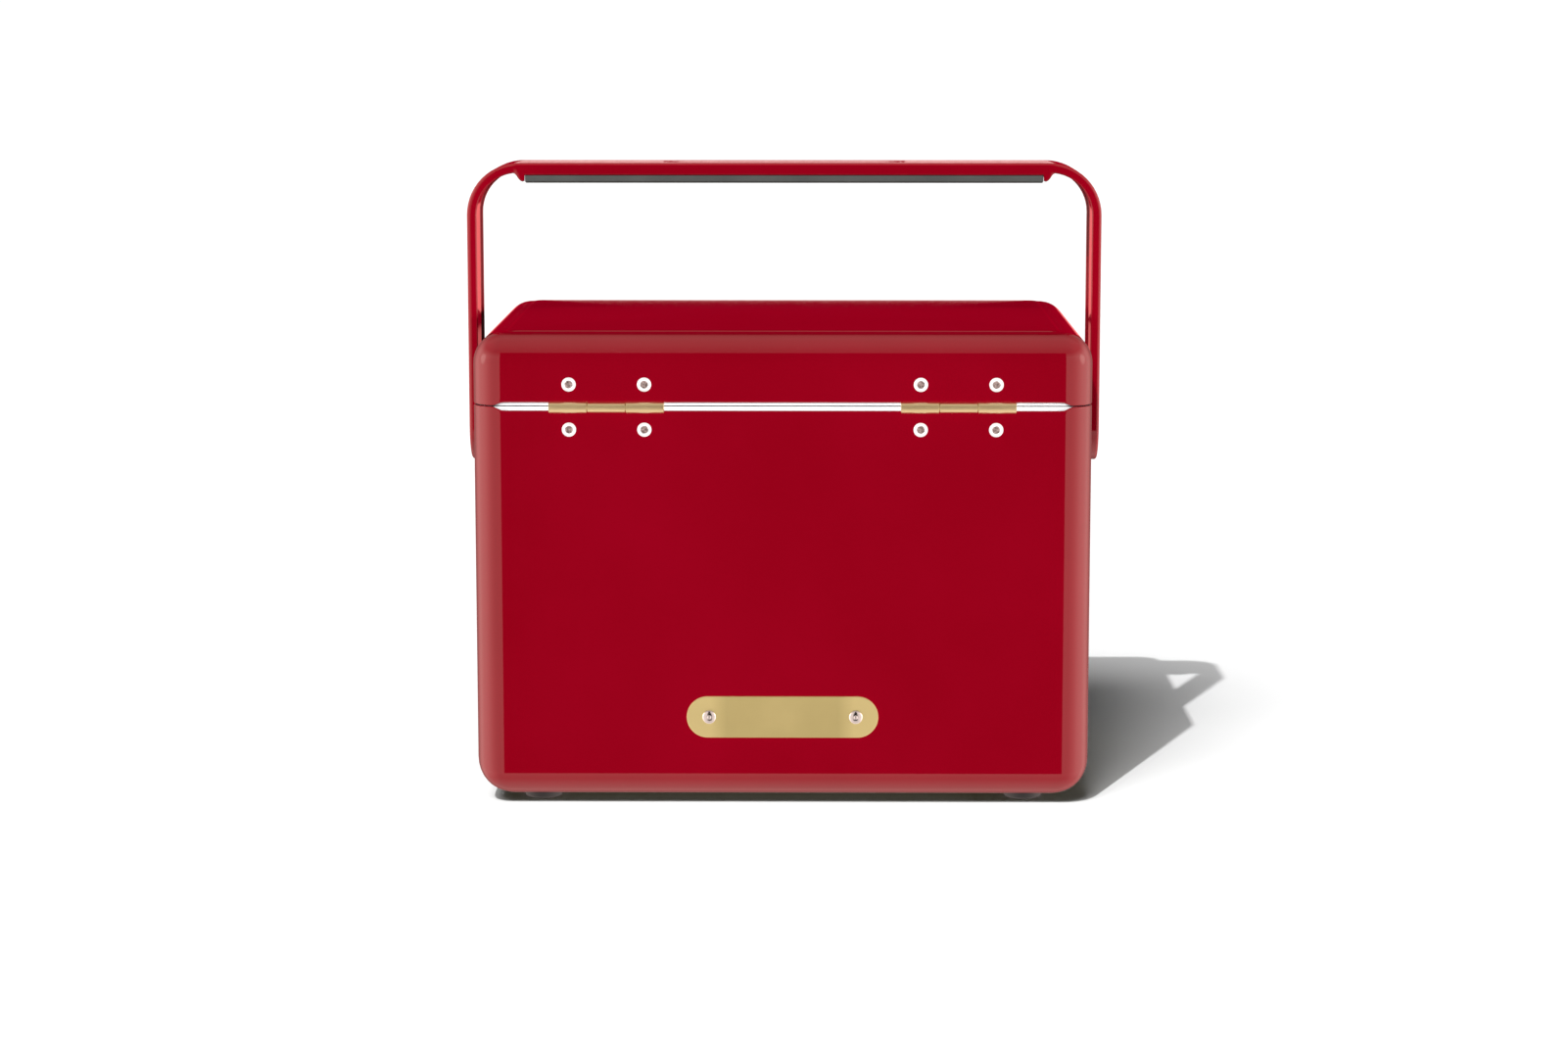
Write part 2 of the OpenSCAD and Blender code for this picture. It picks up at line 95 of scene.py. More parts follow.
def make_piece(name, verts, faces, material, body, slot, nodes=()):
    """A smooth-shaded piece that rides on a body and stands for CAD nodes."""
    mesh = bpy.data.meshes.new(name)
    mesh.from_pydata([tuple(v) for v in verts], [], faces)
    mesh.validate()
    mesh.update()
    piece = bpy.data.objects.new(name, mesh)
    bpy.context.scene.collection.objects.link(piece)
    mesh.materials.append(material)
    for polygon in mesh.polygons:
        polygon.use_smooth = True
    mark_sharp(mesh)
    modifier = piece.modifiers.new("weighted", "WEIGHTED_NORMAL")
    modifier.keep_sharp = True
    modifier.weight = 60
    piece.visible_diffuse = slot != "red_enamel"
    piece.visible_shadow = slot not in ("brass", "rivet_aluminium")
    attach(piece, body)
    if nodes:
        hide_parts(*nodes)
    return piece


def mark_sharp(mesh, limit=math.radians(38)):
    """Marks the edges where two faces meet at more than the limit."""
    faces_of = {}
    for polygon in mesh.polygons:
        for key in polygon.edge_keys:
            faces_of.setdefault(key, []).append(polygon.normal)
    for edge in mesh.edges:
        normals = faces_of.get(edge.key, ())
        if len(normals) == 2 and normals[0].length > 0 and normals[1].length > 0:
            edge.use_edge_sharp = normals[0].angle(normals[1]) > limit


def loft(rings, first_cap=True, last_cap=True):
    """Joins closed rings of equal length into one surface, with flat caps."""
    n = len(rings[0])
    verts = [p for ring in rings for p in ring]
    faces = []
    for k in range(len(rings) - 1):
        a, b = k * n, (k + 1) * n
        faces += [(a + i, a + (i + 1) % n, b + (i + 1) % n, b + i) for i in range(n)]
    if first_cap:
        faces.append(tuple(reversed(range(n))))
    if last_cap:
        faces.append(tuple(range((len(rings) - 1) * n, len(rings) * n)))
    return verts, faces


def lathe(profile, segments=48, place=Matrix.Identity(4), capped=True):
    """Turns a profile of (radius, height) about Z and places it. A closed profile needs no caps."""
    rings = []
    for r, h in profile:
        ring = []
        for i in range(segments):
            a = 2 * math.pi * i / segments
            ring.append(place @ Vector((r * math.cos(a), r * math.sin(a), h)))
        rings.append(ring)
    return loft(rings, capped, capped)


def merged(parts):
    """Several (verts, faces) as one."""
    verts, faces = [], []
    for part_verts, part_faces in parts:
        base = len(verts)
        verts += part_verts
        faces += [tuple(base + i for i in face) for face in part_faces]
    return verts, faces


def arc(centre, radius, start, end, steps):
    """Points of a circular arc in a plane, angles in degrees."""
    points = []
    for i in range(steps + 1):
        a = math.radians(start + (end - start) * i / steps)
        points.append((centre[0] + radius * math.cos(a), centre[1] + radius * math.sin(a)))
    return points


def curl(radius, *degrees):
    """Steps (in, up) along a quarter circle that starts upright at 0 degrees and ends level at 90."""
    steps = []
    for a in degrees:
        t = math.radians(a)
        steps.append((radius * (1 - math.cos(t)), radius * (1 - math.sin(t))))
    return steps


def rounded_block(lo, hi, r):
    """A box with all its edges rounded, as (verts, faces)."""
    size = [(hi[i] - lo[i]) / 2 for i in range(3)]
    centre = Vector([(hi[i] + lo[i]) / 2 for i in range(3)])
    r = min(r, *size)
    rings = []
    for a, z in [(t, -1) for t in (0, 30, 60, 90)] + [(t, 1) for t in (90, 60, 30, 0)]:
        inset = r * (1 - math.sin(math.radians(a)))
        height = z * (size[2] - r + r * math.cos(math.radians(a)))
        ring = []
        for corner, (sx, sy) in enumerate(((1, 1), (-1, 1), (-1, -1), (1, -1))):
            for t in (0, 30, 60, 90):
                b = math.radians(corner * 90 + t)
                x = sx * (size[0] - r) + (r - inset) * math.cos(b)
                y = sy * (size[1] - r) + (r - inset) * math.sin(b)
                ring.append(centre + Vector((x, y, height)))
        rings.append(ring)
    return loft(rings)


def smoothstep(low, high, value):
    t = min(1, max(0, (value - low) / (high - low)))
    return t * t * (3 - 2 * t)


# ---- plan outlines --------------------------------------------------------

CORNER_STEPS = 14
SIDE_STOPS = (-1, -0.992, -0.975, -0.95, -0.9, -0.7, -0.35, 0, 0.35, 0.7, 0.9, 0.95, 0.975, 0.992)


def outline(half_x, half_y, rx, ry, z, z_side=None):
    """A rounded rectangle round the chest's middle, anticlockwise from its right side.

    z_side gives the two side walls another height, blended round the corners."""
    z_side = z if z_side is None else z_side
    ring = []
    corners = ((1, 1, 0), (-1, 1, 90), (-1, -1, 180), (1, -1, 270))
    for sx, sy, start in corners:
        cx, cy = sx * (half_x - rx), sy * (half_y - ry)
        for i in range(CORNER_STEPS + 1):
            a = math.radians(start + 90 * i / CORNER_STEPS)
            blend = smoothstep(0, 1, abs(math.sin(a)))
            height = z_side + (z - z_side) * blend
            ring.append(Vector((cx + rx * math.cos(a), mid_y + cy + ry * math.sin(a), height)))
        end = ring[-1]
        along_x = start in (0, 180)
        for stop in SIDE_STOPS[1:]:
            if along_x:
                ring.append(Vector((sx * (half_x - rx) * -stop, end.y, z)))
            else:
                ring.append(Vector((end.x, mid_y + sy * (half_y - ry) * -stop, z_side)))
    return ring


def inset_outline(inset, r, z):
    """The chest's plan outline, moved inwards."""
    return outline(half_w - inset, half_d - inset, r, r, z)


def notched(ring, towards, amount):
    """Moves a rim ring's rear stretch up or down where the liner rims show."""
    full, tip = 154 * MM, 160.5 * MM
    moved = []
    for p in ring:
        share = 1 - smoothstep(full, tip, abs(p.x)) if p.y > mid_y + half_d - corner_r else 0
        moved.append(p + UP * (towards * amount * share))
    return moved


# ---- materials ------------------------------------------------------------


SOCKETS = {"metallic": "Metallic", "ior": "IOR", "specular": "Specular IOR Level", "sheen": "Sheen Weight"}


class Nodes:
    """Short calls for building one material's node tree."""

    def __init__(self, name):
        self.material = bpy.data.materials.new(name)
        self.material.use_nodes = True
        self.tree = self.material.node_tree
        self.shader = self.tree.nodes["Principled BSDF"]
        self.place = self.add("ShaderNodeTexCoord").outputs["Object"]

    def add(self, kind, **settings):
        node = self.tree.nodes.new(kind)
        for key, value in settings.items():
            setattr(node, key, value)
        return node

    def link(self, output, target):
        self.tree.links.new(output, target)
        return self

    def stretched(self, scale):
        """The object's coordinates, scaled per axis."""
        mapping = self.add("ShaderNodeMapping")
        mapping.inputs["Scale"].default_value = scale
        self.link(self.place, mapping.inputs["Vector"])
        return mapping.outputs["Vector"]

    def noise(self, scale, detail=3.0, roughness=0.55, vector=None):
        node = self.add("ShaderNodeTexNoise")
        node.inputs["Scale"].default_value = scale
        node.inputs["Detail"].default_value = detail
        node.inputs["Roughness"].default_value = roughness
        self.link(vector or self.place, node.inputs["Vector"])
        return node.outputs["Fac"]

    def ramp(self, factor, stops):
        """A colour ramp; each stop is (position, colour)."""
        node = self.add("ShaderNodeValToRGB")
        elements = node.color_ramp.elements
        while len(elements) < len(stops):
            elements.new(0.5)
        for element, (position, colour) in zip(elements, stops):
            element.position = position
            element.color = (*colour, 1)
        self.link(factor, node.inputs["Fac"])
        return node.outputs["Color"]

    def span(self, factor, low, high, from_low=0.0, from_high=1.0):
        """A value mapped onto a range."""
        node = self.add("ShaderNodeMapRange")
        node.inputs["From Min"].default_value = from_low
        node.inputs["From Max"].default_value = from_high
        node.inputs["To Min"].default_value = low
        node.inputs["To Max"].default_value = high
        self.link(factor, node.inputs["Value"])
        return node.outputs["Result"]

    def mix(self, factor, a, b):
        node = self.add("ShaderNodeMix", data_type="RGBA")
        self.link(factor, node.inputs["Factor"])
        for socket, value in ((node.inputs["A"], a), (node.inputs["B"], b)):
            if isinstance(value, tuple):
                socket.default_value = (*value, 1)
            else:
                self.link(value, socket)
        return node.outputs["Result"]

    def bump(self, height, strength, distance):
        node = self.add("ShaderNodeBump")
        node.inputs["Strength"].default_value = strength
        node.inputs["Distance"].default_value = distance
        self.link(height, node.inputs["Height"])
        self.link(node.outputs["Normal"], self.shader.inputs["Normal"])
        return self

    def colour(self, output):
        return self.link(output, self.shader.inputs["Base Color"])

    def rough(self, output):
        return self.link(output, self.shader.inputs["Roughness"])

    def fixed(self, **values):
        for key, value in values.items():
            self.shader.inputs[SOCKETS[key]].default_value = value
        return self


def enamel(name, dark, light):
    """Baked red enamel: deep gloss with a faint orange peel, cloudy gloss and hairline scratches."""
    m = Nodes(name)
    m.colour(m.ramp(m.noise(9, 4), [(0.3, dark), (0.7, light)]))
    hairs = m.noise(260, 2, 0.5, m.stretched((1, 1, 0.05)))
    m.rough(m.span(hairs, 0.035, 0.06, 0.35, 0.75))
    m.bump(m.noise(420, 1.5, 0.4), 0.004, 0.0004)
    m.fixed(ior=1.62)
    return m.material


def white_plastic():
    """Moulded white liner plastic, slightly waxy and unevenly glossy."""
    m = Nodes("white_liner")
    m.colour(m.ramp(m.noise(14, 4), [(0.3, (0.66, 0.66, 0.67)), (0.7, (0.71, 0.71, 0.715))]))
    m.rough(m.span(m.noise(60, 4), 0.26, 0.38))
    m.bump(m.noise(900, 2), 0.05, 0.0003)
    m.fixed(ior=1.48)
    return m.material


def rubber(name, dark, light, grain):
    """Moulded rubber with a fine matt grain and a dusty bloom."""
    m = Nodes(name)
    m.colour(m.ramp(m.noise(35, 5, 0.6), [(0.3, dark), (0.72, light)]))
    m.rough(m.span(m.noise(180, 3), 0.42, 0.62))
    m.bump(m.noise(grain, 3, 0.6), 0.16, 0.0003)
    m.fixed(ior=1.5)
    return m.material


def brass(name, dark, light, low, high, ends=None):
    """Satin brass, brushed along X, a warmer tarnish in patches, and optionally paler towards its ends as a
    painted highlight.
    """
    m = Nodes(name)
    lines = m.noise(2400, 3, 0.6, m.stretched((0.03, 1, 1)))
    base = m.ramp(m.noise(28, 3), [(0.3, dark), (0.72, light)])
    # Paler ends: a painted highlight, blended in by distance from the middle along X.
    if ends:
        split = m.add("ShaderNodeSeparateXYZ")
        m.link(m.place, split.inputs["Vector"])
        size = m.add("ShaderNodeMath", operation="ABSOLUTE")
        m.link(split.outputs["X"], size.inputs[0])
        base = m.mix(m.span(size.outputs["Value"], 0, 1, 0.031, 0.040), base, ends)
    m.colour(base)
    m.rough(m.span(lines, low, high))
    m.bump(lines, 0.05, 0.0002)
    m.fixed(metallic=1.0)
    return m.material


def metal(name, dark, light, rough, grain=1500, metallic=1.0, cloud=70):
    """Plain plated or milled metal with fine grain."""
    m = Nodes(name)
    m.colour(m.ramp(m.noise(cloud, 4), [(0.3, dark), (0.7, light)]))
    m.rough(m.span(m.noise(grain, 3), rough - 0.05, rough + 0.07))
    m.bump(m.noise(grain, 3), 0.06, 0.0002)
    m.fixed(metallic=metallic)
    return m.material


def wool():
    """Pale yellow insulation wadding with matted fibres."""
    m = Nodes("insulation_wool")
    fibres = m.noise(700, 6, 0.7, m.stretched((1, 0.2, 1)))
    m.colour(m.ramp(fibres, [(0.3, (0.52, 0.42, 0.2)), (0.7, (0.8, 0.7, 0.42))]))
    m.rough(m.span(fibres, 0.8, 0.95))
    m.bump(fibres, 0.6, 0.001)
    m.fixed(sheen=0.3)
    return m.material


RED = enamel("red_enamel", (0.161, 0.0003, 0.0050), (0.180, 0.0005, 0.0067))
# The handle's red is a lighter copy of the body's enamel: painted light that makes up for the lower light falling
# on the handle, not a different paint.
HANDLE_RED_LIT = enamel("handle_enamel_lit_copy", (0.209, 0.0003, 0.0062), (0.232, 0.0005, 0.0082))
WHITE = white_plastic()
GRIP = rubber("grip_rubber", (0.046, 0.052, 0.051), (0.066, 0.072, 0.069), 2600)
FOOT = rubber("foot_rubber", (0.008, 0.008, 0.0085), (0.014, 0.014, 0.0145), 1800)
SEAL = rubber("gasket_rubber", (0.2, 0.2, 0.205), (0.27, 0.27, 0.275), 2000)
BRASS = brass("brass", (0.84, 0.755, 0.43), (0.90, 0.82, 0.49), 0.27, 0.37)
# The nameplate's paler ends are a painted highlight.
PLATE = brass("plate_brass", (0.67, 0.63, 0.29), (0.745, 0.70, 0.335), 0.40, 0.52, ends=(0.88, 0.83, 0.41))
ALUMINIUM = metal("rivet_aluminium", (0.68, 0.68, 0.675), (0.75, 0.75, 0.745), 0.34, metallic=0.35)
POLISHED = metal("rivet_polished", (0.80, 0.80, 0.80), (0.88, 0.88, 0.88), 0.12)
MANDREL = metal("rivet_mandrel", (0.03, 0.02, 0.018), (0.36, 0.27, 0.25), 0.45, metallic=0.3, cloud=900)
ZINC = metal("zinc_steel", (0.52, 0.53, 0.54), (0.68, 0.68, 0.69), 0.34)
NYLON = rubber("nylon", (0.62, 0.6, 0.53), (0.7, 0.68, 0.61), 1500)
WOOL = wool()


# ---- shells ---------------------------------------------------------------


def wall_rings(low, high, inset, r, count=3):
    """Upright wall rings between two heights, with a support ring near each end."""
    edge = 0.4 * MM
    heights = [low + edge] + [low + (high - low) * i / count for i in range(1, count)] + [high - edge]
    return [inset_outline(inset, r, z) for z in heights]


def tub_fillet(inset, steps=10):
    """Rings of the body's lower edge, from the flat underside up to the walls."""
    rings = []
    r, s = corner_r - inset, lower_side_r - inset
    floor_z = under_z + inset
    for i in range(steps + 1):
        a = math.radians(90 * (1 - i / steps))
        drop = 1 - math.cos(a)
        rise = 1 - math.sin(a)
        plan = under_r + (r - under_r) * math.cos(a)
        rings.append(outline(half_w - inset - s * drop, half_d - inset - r * drop, plan, plan,
                             floor_z + r * rise, floor_z + s * rise))
    return rings


def body_shell():
    """The pressed steel body, with a rolled lip and four round pads under it."""
    support = 0.5 * MM
    flat = outline(half_w - lower_side_r - support, half_d - corner_r - support, under_r, under_r, under_z)
    rings = [flat] + tub_fillet(0)
    rings += wall_rings(under_z + lower_side_r, body_top - 6 * MM, 0, corner_r, 4)
    rings.append(notched(inset_outline(0, corner_r, body_top - 3.2 * MM), -1, 1.6 * MM))
    lip = curl(lip_r, 0, 22.5, 45, 67.5, 90) + [(lip_in - 0.2 * MM, 0), (lip_in, 0.2 * MM), (lip_in, 2 * MM)]
    for inset, drop in lip:
        rings.append(notched(inset_outline(inset, corner_r - inset, body_top - drop), -1, body_lift))
    rings.append(inset_outline(shell_t, corner_r - shell_t, body_top - 6.2 * MM))
    rings += reversed(tub_fillet(shell_t, 6))
    pads = [pad(foot) for foot in feet()]
    make_piece("body_shell_enamel", *merged([loft(rings), *pads]), RED, "chest", "red_enamel", ["body_shell"])


def pad(foot):
    """A round pressed pad under the shell, above a foot."""
    pad_r, buried, rounding = 13 * MM, 1.5 * MM, 1.4 * MM
    profile = [(0, buried), (pad_r, buried), (pad_r, 0)]
    for a in (20, 40, 60, 90):
        share = math.sin(math.radians(a))
        profile.append((pad_r - rounding * share ** 2, -pad_h * share))
    profile += [(0, -pad_h)]
    profile.reverse()
    return lathe(profile, 48, Matrix.Translation(Vector((foot.x, foot.y, under_z))))


FEET = ("front_left", "front_right", "rear_left", "rear_right")


def feet():
    """The centres of the four feet on the ground."""
    centres = []
    for name in FEET:
        lo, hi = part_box("foot_" + name)
        centres.append(Vector(((lo.x + hi.x) / 2, (lo.y + hi.y) / 2, 0)))
    return centres


def lid_top_profile():
    """(inset, height) of the lid's top, from the end of the edge fillet to the middle."""
    shoulder = lid_hi.z - crown_h
    step_in, step_up = lid_edge_r + 0.8 * MM, 0.7 * MM
    points = [(lid_edge_r + 0.4 * MM, shoulder)]
    for a in (30, 60, 90):
        s = math.sin(math.radians(a / 2)) ** 2 * 2
        points.append((step_in + 0.9 * MM * a / 90, shoulder + step_up * 0.5 * s))
    for a in (30, 60, 90):
        s = 0.5 + 0.5 * math.sin(math.radians(a))
        points.append((step_in + (0.9 + 1.1 * a / 90) * MM, shoulder + step_up * s))
    edge = points[-1]
    for share in (0.06, 0.2, 0.4, 0.6, 0.8, 0.97):
        inset = edge[0] + (half_d - edge[0]) * share
        rise = (crown_h - step_up) * (1 - (1 - share) ** 2)
        points.append((inset, shoulder + step_up + rise))
    return points


def lid_shell():
    """The pressed steel lid: rolled lip, rounded edges and a slightly raised, crowned top."""
    shoulder = lid_hi.z - crown_h
    top_r = 2.5 * MM
    rings = []
    lip = [(shell_t + 0.4 * MM, 3 * MM), (lip_in, 2 * MM), (lip_in, 0.2 * MM), (lip_in - 0.2 * MM, 0)]
    for inset, rise in lip + curl(lip_r, 90, 67.5, 45, 22.5, 0):
        rings.append(notched(inset_outline(inset, corner_r - inset, lid_bottom + rise), 1, lid_lift))
    rings.append(notched(inset_outline(0, corner_r, lid_bottom + 3.2 * MM), 1, 1.2 * MM))
    rings += wall_rings(lid_bottom + 6 * MM, shoulder - lid_edge_r, 0, corner_r, 2)
    for i in range(13):
        a = math.radians(90 * i / 12)
        inset = lid_edge_r * (1 - math.cos(a))
        plan = top_r + (corner_r - top_r) * math.cos(a)
        rings.append(inset_outline(inset, plan, shoulder - lid_edge_r * (1 - math.sin(a))))
    for inset, z in lid_top_profile():
        plan = min(6 * MM, (half_d - inset) * 0.8, top_r + (inset - lid_edge_r) * 1.2)
        rings.append(inset_outline(min(inset, half_d - 1 * MM), plan, z))
    make_piece("lid_shell_enamel", *loft(rings), RED, "lid", "red_enamel", ["lid_shell"])


# ---- liners and seal ------------------------------------------------------

FLOOR_ANGLES = (0, 18, 36, 54, 72, 90)
GASKET_W = 6 * MM


def body_liner():
    """The white tub: a flat rim with rounded edges, upright walls and a rounded floor."""
    edge, outer_r, mouth_r, bottom_r = 0.6 * MM, 6 * MM, 2.5 * MM, 9 * MM
    wall_out = tub_wall - liner_t
    floor_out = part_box("body_liner")[0].z
    floor_in = floor_out + liner_t
    rings = [inset_outline(wall_out + outer_r, tub_r - 4 * MM, floor_out)]
    for inwards, up in curl(outer_r, 60, 30, 0):
        rings.append(inset_outline(wall_out + inwards, tub_r, floor_out + up))
    rings.append(inset_outline(wall_out, tub_r + 2 * MM, body_top - rim_t))
    rim = ((liner_out, rim_t), (liner_out, edge), (liner_out + 0.2 * MM, 0.15 * MM), (liner_out + edge, 0))
    for inset, drop in rim:
        rings.append(inset_outline(inset, corner_r - liner_out, body_top - drop))
    rings.append(inset_outline(tub_wall - 3 * MM, tub_r + 3 * MM, body_top))
    for outwards, down in curl(mouth_r, 60, 30, 0):
        rings.append(inset_outline(tub_wall - outwards, tub_r, body_top - down))
    for height in (body_top - 30 * MM, (body_top + floor_in) / 2, floor_in + bottom_r + 0.5 * MM):
        rings.append(inset_outline(tub_wall, tub_r, height))
    for (inwards, up), a in zip(curl(bottom_r, *FLOOR_ANGLES), FLOOR_ANGLES):
        plan = tub_r - 4 * MM * math.sin(math.radians(a))
        rings.append(inset_outline(tub_wall + inwards, plan, floor_in + up))
    rings.append(inset_outline(tub_wall + bottom_r + 1 * MM, tub_r - 5 * MM, floor_in))
    make_piece("body_liner_tub", *loft(rings), WHITE, "chest", "white_liner", ["body_liner"])


def lid_liner():
    """The lid's white underside: a rim with a gasket groove and a plug that enters the tub."""
    groove_r, groove_h, plug_r, plug_edge_r = corner_r - 3 * MM, 1.5 * MM, 11 * MM, 4 * MM
    plug_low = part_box("lid_liner")[0].z
    plug = tub_wall + 1 * MM
    groove_out = half_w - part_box("lid_gasket")[1].x
    groove_in = groove_out + GASKET_W
    rings = [inset_outline(liner_out + 4 * MM, corner_r - liner_out, lid_bottom + rim_t)]
    for more, z in ((0, rim_t), (0, 0.6 * MM), (0.2 * MM, 0.15 * MM), (0.6 * MM, 0)):
        rings.append(inset_outline(liner_out + more, corner_r - liner_out, lid_bottom + z))
    for inset, z in ((groove_out, 0), (groove_out, groove_h), (groove_in, groove_h), (groove_in, 0)):
        rings.append(inset_outline(inset, groove_r, lid_bottom + z))
    rings.append(inset_outline(plug - 1 * MM, plug_r + 1 * MM, lid_bottom))
    rings.append(inset_outline(plug, plug_r, lid_bottom - 0.8 * MM))
    for inwards, up in curl(plug_edge_r, 0, 22.5, 45, 67.5, 90):
        rings.append(inset_outline(plug + inwards, plug_r, plug_low + up))
    for inset, z in ((9 * MM, 0), (11 * MM, 0.6 * MM), (13 * MM, 1.2 * MM), (16 * MM, 1.2 * MM)):
        rings.append(inset_outline(plug + inset, plug_r, plug_low + z))
    rings.reverse()
    make_piece("lid_liner_pan", *loft(rings), WHITE, "lid", "white_liner", ["lid_liner"])


def lid_gasket():
    """The gasket in the lid liner's groove, with a rounded underside."""
    lo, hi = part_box("lid_gasket")
    top, play, round_h = hi.z - 0.3 * MM, 0.3 * MM, 1 * MM
    outer = half_w - hi.x
    half = GASKET_W / 2
    profile = [(outer + play, top), (outer + play, lo.z + round_h)]
    for a in range(180, 361, 30):
        t = math.radians(a)
        inset = outer + half + (half - play) * math.cos(t)
        profile.append((inset, lo.z + round_h + round_h * math.sin(t)))
    profile.append((outer + GASKET_W - play, top))
    rings = [inset_outline(inset, corner_r - 3 * MM, z) for inset, z in profile]
    rings.append(rings[0])
    verts, faces = loft(rings, False, False)
    make_piece("lid_gasket_ring", verts, faces, SEAL, "lid", "gasket_rubber", ["lid_gasket"])


# ---- handle ---------------------------------------------------------------

bow_half = (strap_hi.x - strap_lo.x) / 2
bow_top = strap_hi.z
strap_half = (strap_hi.y - strap_lo.y) / 2
bend_r = 30 * MM
grip_half = 149 * MM
flat_run = bow_half - bend_r
bend_run = bend_r * math.pi / 2
leg_run = bow_top - bend_r - pivot.z
strap_run = flat_run + bend_run + leg_run


def bow_point(s, v, depth):
    """A point at run s along the bow from its middle, v across it, and depth below its outside."""
    side, run = (1 if s >= 0 else -1), abs(s)
    if run <= flat_run:
        x, z, nx, nz = run, bow_top, 0, 1
    elif run <= flat_run + bend_run:
        a = (run - flat_run) / bend_r
        nx, nz = math.sin(a), math.cos(a)
        x, z = flat_run + bend_r * nx, bow_top - bend_r + bend_r * nz
    else:
        x, z, nx, nz = bow_half, bow_top - bend_r - (run - flat_run - bend_run), 1, 0
    return Vector((side * (x - nx * depth), mid_y + v, z - nz * depth))


OVAL_STOPS = (0, 20, 40, 52, 56, 58, 60, 61.5, 63, 64, 65, 65.8, 66.5, 67.2, 67.8, 68.4,
              69, 69.6, 70.2, 71, 80)
LUG_STOPS = (120, 140, 147, 148.6, 148.9, 149.0, 149.4, 150.2, 151.4, 152.6, 153.8, 155, 156.2)


def run_stops(end):
    """Stops along half the bow, close together round the bend and at the ends of the grip."""
    stops = [s * MM for s in OVAL_STOPS + LUG_STOPS]
    stops += [flat_run + bend_run * i / 14 for i in range(2, 15)]
    stops += [flat_run + bend_run + leg_run * share for share in (0.02, 0.25, 0.5, 0.75, 0.95, 1)]
    return [s for s in stops if s < end - 0.1 * MM] + [end]


LUG_START, LUG_FACE, LUG_RAMP = 148.95, 149.5, (150.2, 156.2)
GRIP_FLANGE, LEG_FLANGE, LUG_LOW, LUG_RISE = 7, 5.6, 10.3, 5.0


def flange_depth(s):
    """How deep the strap's flanges are at a run: shallow beside the grip, with a lug at its ends."""
    run = abs(s) / MM
    if run < LUG_START:
        return GRIP_FLANGE * MM
    if run < LUG_FACE:
        return LUG_LOW * MM
    return (LEG_FLANGE + LUG_RISE * (1 - smoothstep(*LUG_RAMP, run))) * MM


END_STEPS = 16


def strap_ring(inset, depth_of):
    """A closed ring round the strap, like a racetrack, at an inset from its edge."""
    half = strap_half - inset
    stops = run_stops(strap_run)
    line = [-s for s in reversed(stops)] + stops[1:]
    ring = [bow_point(s, -half, depth_of(s, -half)) for s in line]
    for i in range(1, END_STEPS):
        a = math.radians(-90 + 180 * i / END_STEPS)
        s = strap_run + half * math.cos(a)
        ring.append(bow_point(s, half * math.sin(a), depth_of(s, half)))
    ring += [bow_point(s, half, depth_of(s, half)) for s in reversed(line)]
    for i in range(1, END_STEPS):
        a = math.radians(90 + 180 * i / END_STEPS)
        s = -strap_run + half * math.cos(a)
        ring.append(bow_point(s, half * math.sin(a), depth_of(s, half)))
    return ring


WEB_CROWN = 0.03 * MM
OVAL_REACH, OVAL_R = 57 * MM, 12 * MM
OVAL_DEPTH, OVAL_WIDTH = 0.22 * MM, 0.45 * MM
WEB_INSETS = (21.9, 18, 14, 12, 11.2, 10.8, 10.5, 10.25, 10, 9.75, 9.5, 9.2, 8.8, 8, 5, 3.2, 1.9, 1.5)
FLANGE_TIP = ((0, 0.8), (0.12, 0.35), (0.45, 0.06), (0.8, 0), (1.15, 0.06), (1.48, 0.35), (1.6, 0.8))
CHANNEL = ((1.6, 2.4), (1.8, 1.9), (2.4, 1.6), (12, 1.6), (21.9, 1.6))


def web_depth(s, v):
    """How far the web's outside dips: a faint crown, and a fine pressed oval in the middle of the top."""
    crown = WEB_CROWN * (v / strap_half) ** 2
    off = math.hypot(max(abs(s) - OVAL_REACH, 0), v) - OVAL_R
    return crown + OVAL_DEPTH * math.exp(-(off / OVAL_WIDTH) ** 2)


def handle_strap():
    """The steel channel: a crowned web with rounded edges and two flanges that point inwards."""
    edge_r = 1.5 * MM
    rings = [strap_ring(inset * MM, web_depth) for inset in WEB_INSETS]
    for dip, inset in curl(edge_r, 15, 30, 45, 60, 75, 90):
        rings.append(strap_ring(inset, lambda s, v, dip=dip: WEB_CROWN + dip))
    for inset, back in FLANGE_TIP:
        rings.append(strap_ring(inset * MM, lambda s, v, back=back: flange_depth(s) - back * MM))
    for inset, depth in CHANNEL:
        rings.append(strap_ring(inset * MM, lambda s, v, depth=depth: depth * MM))
    verts, faces = loft(rings, False, False)
    n = len(rings[0])
    faces += closing_faces(n, 0, True) + closing_faces(n, (len(rings) - 1) * n, False)
    make_piece("handle_strap_enamel", verts, faces, HANDLE_RED_LIT, "handle", "red_enamel", ["handle_strap"])


def closing_faces(n, base, flip):
    """Closes the narrow slot that the innermost strap ring leaves along its middle."""
    line = (n - 2 * (END_STEPS - 1)) // 2
    far = 2 * line + END_STEPS - 2
    faces = [(base + i, base + i + 1, base + far - i - 1, base + far - i) for i in range(line - 1)]
    faces.append(tuple(base + i for i in range(line - 1, line + END_STEPS)))
    faces.append(tuple(base + i for i in (*range(far, n), 0)))
    return [tuple(reversed(face)) for face in faces] if flip else faces


